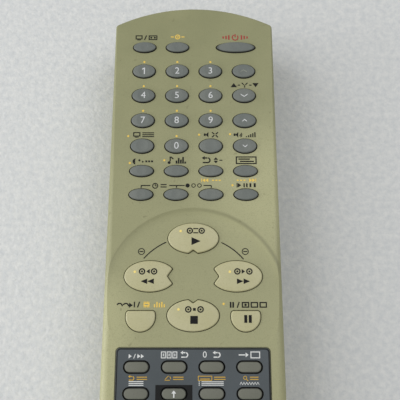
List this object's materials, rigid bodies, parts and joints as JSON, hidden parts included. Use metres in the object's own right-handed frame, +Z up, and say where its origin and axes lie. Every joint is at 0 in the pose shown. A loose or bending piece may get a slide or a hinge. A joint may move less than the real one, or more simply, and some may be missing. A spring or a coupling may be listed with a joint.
{
  "type": "remote control handset",
  "caption": "Hand-held infrared remote control for a tape and disc player, with a khaki snap case, rubber number keys, oval transport keys and a sliding battery cover.",
  "frame": {"origin": "under the middle of the case, on the surface that the back lies on", "axes": "+Z up through the keys, +Y along the case towards the infrared window, +X to the right of the keys"},
  "size_m": [0.059, 0.1976, 0.0254],
  "materials": {
    "case": "khaki moulded plastic with a fine spark-eroded grain",
    "panel": "slate grey plastic inlay, fine grain",
    "mat": "dark moulded silicone rubber",
    "board": "brown paper laminate",
    "component": "black epoxy packages",
    "emitter": "tinted clear epoxy",
    "window": "dark red infrared-pass plastic",
    "cell": "printed steel sleeve with bare ends",
    "contact": "nickel-plated spring steel",
    "cream_key": "cream moulded plastic, satin",
    "panel_key": "grey silicone rubber",
    "rubber_key": "grey silicone rubber"
  },
  "bodies": {
    "handset": {"battery_cells": "cell", "battery_contacts": "contact", "board_components": "component", "circuit_board": "board", "function_panel": "panel", "infrared_emitter": "emitter", "infrared_window": "window", "keypad_mat": "mat", "lower_case": "case", "upper_case": "case"},
    "key_0": {"key_0": "rubber_key"},
    "key_1": {"key_1": "rubber_key"},
    "key_2": {"key_2": "rubber_key"},
    "key_3": {"key_3": "rubber_key"},
    "key_4": {"key_4": "rubber_key"},
    "key_5": {"key_5": "rubber_key"},
    "key_6": {"key_6": "rubber_key"},
    "key_7": {"key_7": "rubber_key"},
    "key_8": {"key_8": "rubber_key"},
    "key_9": {"key_9": "rubber_key"},
    "key_audio": {"key_audio": "rubber_key"},
    "key_caption": {"key_caption": "rubber_key"},
    "key_channel_down": {"key_channel_down": "rubber_key"},
    "key_channel_up": {"key_channel_up": "rubber_key"},
    "key_clear": {"key_clear": "panel_key"},
    "key_counter_reset": {"key_counter_reset": "panel_key"},
    "key_disc_mode": {"key_disc_mode": "rubber_key"},
    "key_display": {"key_display": "rubber_key"},
    "key_down": {"key_down": "panel_key"},
    "key_enter": {"key_enter": "panel_key"},
    "key_fast_forward": {"key_fast_forward": "cream_key"},
    "key_input": {"key_input": "panel_key"},
    "key_last_channel": {"key_last_channel": "rubber_key"},
    "key_left": {"key_left": "panel_key"},
    "key_memory": {"key_memory": "cream_key"},
    "key_menu": {"key_menu": "panel_key"},
    "key_mute": {"key_mute": "rubber_key"},
    "key_pause": {"key_pause": "cream_key"},
    "key_play": {"key_play": "cream_key"},
    "key_power": {"key_power": "rubber_key"},
    "key_program": {"key_program": "panel_key"},
    "key_record": {"key_record": "rubber_key"},
    "key_repeat": {"key_repeat": "panel_key"},
    "key_rewind": {"key_rewind": "cream_key"},
    "key_right": {"key_right": "panel_key"},
    "key_setup": {"key_setup": "panel_key"},
    "key_skip_back": {"key_skip_back": "rubber_key"},
    "key_skip_forward": {"key_skip_forward": "rubber_key"},
    "key_sleep": {"key_sleep": "rubber_key"},
    "key_stop": {"key_stop": "cream_key"},
    "key_tape_mode": {"key_tape_mode": "rubber_key"},
    "key_tape_speed": {"key_tape_speed": "panel_key"},
    "key_timer": {"key_timer": "rubber_key"},
    "key_title": {"key_title": "panel_key"},
    "key_tracking": {"key_tracking": "panel_key"},
    "key_up": {"key_up": "panel_key"},
    "key_volume_down": {"key_volume_down": "rubber_key"},
    "key_volume_up": {"key_volume_up": "rubber_key"},
    "key_zero_return": {"key_zero_return": "panel_key"},
    "battery_cover": {"battery_cover": "case"}
  },
  "joints": [
    {"name": "battery_cover_slide", "type": "slide", "parent": "handset", "child": "battery_cover", "axis": [0, -1, 0], "range_m": [0, 0.075]},
    {"name": "key_0_press", "type": "slide", "parent": "handset", "child": "key_0", "axis": [0, 0, -1], "range_m": [0, 0.001], "stiffness_N_per_m": 300, "springref_m": -0.002},
    {"name": "key_1_press", "type": "slide", "parent": "handset", "child": "key_1", "axis": [0, 0, -1], "range_m": [0, 0.001], "stiffness_N_per_m": 300, "springref_m": -0.002},
    {"name": "key_2_press", "type": "slide", "parent": "handset", "child": "key_2", "axis": [0, 0, -1], "range_m": [0, 0.001], "stiffness_N_per_m": 300, "springref_m": -0.002},
    {"name": "key_3_press", "type": "slide", "parent": "handset", "child": "key_3", "axis": [0, 0, -1], "range_m": [0, 0.001], "stiffness_N_per_m": 300, "springref_m": -0.002},
    {"name": "key_4_press", "type": "slide", "parent": "handset", "child": "key_4", "axis": [0, 0, -1], "range_m": [0, 0.001], "stiffness_N_per_m": 300, "springref_m": -0.002},
    {"name": "key_5_press", "type": "slide", "parent": "handset", "child": "key_5", "axis": [0, 0, -1], "range_m": [0, 0.001], "stiffness_N_per_m": 300, "springref_m": -0.002},
    {"name": "key_6_press", "type": "slide", "parent": "handset", "child": "key_6", "axis": [0, 0, -1], "range_m": [0, 0.001], "stiffness_N_per_m": 300, "springref_m": -0.002},
    {"name": "key_7_press", "type": "slide", "parent": "handset", "child": "key_7", "axis": [0, 0, -1], "range_m": [0, 0.001], "stiffness_N_per_m": 300, "springref_m": -0.002},
    {"name": "key_8_press", "type": "slide", "parent": "handset", "child": "key_8", "axis": [0, 0, -1], "range_m": [0, 0.001], "stiffness_N_per_m": 300, "springref_m": -0.002},
    {"name": "key_9_press", "type": "slide", "parent": "handset", "child": "key_9", "axis": [0, 0, -1], "range_m": [0, 0.001], "stiffness_N_per_m": 300, "springref_m": -0.002},
    {"name": "key_audio_press", "type": "slide", "parent": "handset", "child": "key_audio", "axis": [0, 0, -1], "range_m": [0, 0.001], "stiffness_N_per_m": 300, "springref_m": -0.002},
    {"name": "key_caption_press", "type": "slide", "parent": "handset", "child": "key_caption", "axis": [0, 0, -1], "range_m": [0, 0.001], "stiffness_N_per_m": 300, "springref_m": -0.002},
    {"name": "key_channel_down_press", "type": "slide", "parent": "handset", "child": "key_channel_down", "axis": [0, 0, -1], "range_m": [0, 0.001], "stiffness_N_per_m": 300, "springref_m": -0.002},
    {"name": "key_channel_up_press", "type": "slide", "parent": "handset", "child": "key_channel_up", "axis": [0, 0, -1], "range_m": [0, 0.001], "stiffness_N_per_m": 300, "springref_m": -0.002},
    {"name": "key_clear_press", "type": "slide", "parent": "handset", "child": "key_clear", "axis": [0, 0, -1], "range_m": [0, 0.001], "stiffness_N_per_m": 300, "springref_m": -0.002},
    {"name": "key_counter_reset_press", "type": "slide", "parent": "handset", "child": "key_counter_reset", "axis": [0, 0, -1], "range_m": [0, 0.001], "stiffness_N_per_m": 300, "springref_m": -0.002},
    {"name": "key_disc_mode_press", "type": "slide", "parent": "handset", "child": "key_disc_mode", "axis": [0, 0, -1], "range_m": [0, 0.001], "stiffness_N_per_m": 300, "springref_m": -0.002},
    {"name": "key_display_press", "type": "slide", "parent": "handset", "child": "key_display", "axis": [0, 0, -1], "range_m": [0, 0.001], "stiffness_N_per_m": 300, "springref_m": -0.002},
    {"name": "key_down_press", "type": "slide", "parent": "handset", "child": "key_down", "axis": [0, 0, -1], "range_m": [0, 0.001], "stiffness_N_per_m": 300, "springref_m": -0.002},
    {"name": "key_enter_press", "type": "slide", "parent": "handset", "child": "key_enter", "axis": [0, 0, -1], "range_m": [0, 0.001], "stiffness_N_per_m": 300, "springref_m": -0.002},
    {"name": "key_fast_forward_press", "type": "slide", "parent": "handset", "child": "key_fast_forward", "axis": [0, 0, -1], "range_m": [0, 0.001], "stiffness_N_per_m": 300, "springref_m": -0.002},
    {"name": "key_input_press", "type": "slide", "parent": "handset", "child": "key_input", "axis": [0, 0, -1], "range_m": [0, 0.001], "stiffness_N_per_m": 300, "springref_m": -0.002},
    {"name": "key_last_channel_press", "type": "slide", "parent": "handset", "child": "key_last_channel", "axis": [0, 0, -1], "range_m": [0, 0.001], "stiffness_N_per_m": 300, "springref_m": -0.002},
    {"name": "key_left_press", "type": "slide", "parent": "handset", "child": "key_left", "axis": [0, 0, -1], "range_m": [0, 0.001], "stiffness_N_per_m": 300, "springref_m": -0.002},
    {"name": "key_memory_press", "type": "slide", "parent": "handset", "child": "key_memory", "axis": [0, 0, -1], "range_m": [0, 0.001], "stiffness_N_per_m": 300, "springref_m": -0.002},
    {"name": "key_menu_press", "type": "slide", "parent": "handset", "child": "key_menu", "axis": [0, 0, -1], "range_m": [0, 0.001], "stiffness_N_per_m": 300, "springref_m": -0.002},
    {"name": "key_mute_press", "type": "slide", "parent": "handset", "child": "key_mute", "axis": [0, 0, -1], "range_m": [0, 0.001], "stiffness_N_per_m": 300, "springref_m": -0.002},
    {"name": "key_pause_press", "type": "slide", "parent": "handset", "child": "key_pause", "axis": [0, 0, -1], "range_m": [0, 0.001], "stiffness_N_per_m": 300, "springref_m": -0.002},
    {"name": "key_play_press", "type": "slide", "parent": "handset", "child": "key_play", "axis": [0, 0, -1], "range_m": [0, 0.001], "stiffness_N_per_m": 300, "springref_m": -0.002},
    {"name": "key_power_press", "type": "slide", "parent": "handset", "child": "key_power", "axis": [0, 0, -1], "range_m": [0, 0.001], "stiffness_N_per_m": 300, "springref_m": -0.002},
    {"name": "key_program_press", "type": "slide", "parent": "handset", "child": "key_program", "axis": [0, 0, -1], "range_m": [0, 0.001], "stiffness_N_per_m": 300, "springref_m": -0.002},
    {"name": "key_record_press", "type": "slide", "parent": "handset", "child": "key_record", "axis": [0, 0, -1], "range_m": [0, 0.001], "stiffness_N_per_m": 300, "springref_m": -0.002},
    {"name": "key_repeat_press", "type": "slide", "parent": "handset", "child": "key_repeat", "axis": [0, 0, -1], "range_m": [0, 0.001], "stiffness_N_per_m": 300, "springref_m": -0.002},
    {"name": "key_rewind_press", "type": "slide", "parent": "handset", "child": "key_rewind", "axis": [0, 0, -1], "range_m": [0, 0.001], "stiffness_N_per_m": 300, "springref_m": -0.002},
    {"name": "key_right_press", "type": "slide", "parent": "handset", "child": "key_right", "axis": [0, 0, -1], "range_m": [0, 0.001], "stiffness_N_per_m": 300, "springref_m": -0.002},
    {"name": "key_setup_press", "type": "slide", "parent": "handset", "child": "key_setup", "axis": [0, 0, -1], "range_m": [0, 0.001], "stiffness_N_per_m": 300, "springref_m": -0.002},
    {"name": "key_skip_back_press", "type": "slide", "parent": "handset", "child": "key_skip_back", "axis": [0, 0, -1], "range_m": [0, 0.001], "stiffness_N_per_m": 300, "springref_m": -0.002},
    {"name": "key_skip_forward_press", "type": "slide", "parent": "handset", "child": "key_skip_forward", "axis": [0, 0, -1], "range_m": [0, 0.001], "stiffness_N_per_m": 300, "springref_m": -0.002},
    {"name": "key_sleep_press", "type": "slide", "parent": "handset", "child": "key_sleep", "axis": [0, 0, -1], "range_m": [0, 0.001], "stiffness_N_per_m": 300, "springref_m": -0.002},
    {"name": "key_stop_press", "type": "slide", "parent": "handset", "child": "key_stop", "axis": [0, 0, -1], "range_m": [0, 0.001], "stiffness_N_per_m": 300, "springref_m": -0.002},
    {"name": "key_tape_mode_press", "type": "slide", "parent": "handset", "child": "key_tape_mode", "axis": [0, 0, -1], "range_m": [0, 0.001], "stiffness_N_per_m": 300, "springref_m": -0.002},
    {"name": "key_tape_speed_press", "type": "slide", "parent": "handset", "child": "key_tape_speed", "axis": [0, 0, -1], "range_m": [0, 0.001], "stiffness_N_per_m": 300, "springref_m": -0.002},
    {"name": "key_timer_press", "type": "slide", "parent": "handset", "child": "key_timer", "axis": [0, 0, -1], "range_m": [0, 0.001], "stiffness_N_per_m": 300, "springref_m": -0.002},
    {"name": "key_title_press", "type": "slide", "parent": "handset", "child": "key_title", "axis": [0, 0, -1], "range_m": [0, 0.001], "stiffness_N_per_m": 300, "springref_m": -0.002},
    {"name": "key_tracking_press", "type": "slide", "parent": "handset", "child": "key_tracking", "axis": [0, 0, -1], "range_m": [0, 0.001], "stiffness_N_per_m": 300, "springref_m": -0.002},
    {"name": "key_up_press", "type": "slide", "parent": "handset", "child": "key_up", "axis": [0, 0, -1], "range_m": [0, 0.001], "stiffness_N_per_m": 300, "springref_m": -0.002},
    {"name": "key_volume_down_press", "type": "slide", "parent": "handset", "child": "key_volume_down", "axis": [0, 0, -1], "range_m": [0, 0.001], "stiffness_N_per_m": 300, "springref_m": -0.002},
    {"name": "key_volume_up_press", "type": "slide", "parent": "handset", "child": "key_volume_up", "axis": [0, 0, -1], "range_m": [0, 0.001], "stiffness_N_per_m": 300, "springref_m": -0.002},
    {"name": "key_zero_return_press", "type": "slide", "parent": "handset", "child": "key_zero_return", "axis": [0, 0, -1], "range_m": [0, 0.001], "stiffness_N_per_m": 300, "springref_m": -0.002}
  ]
}
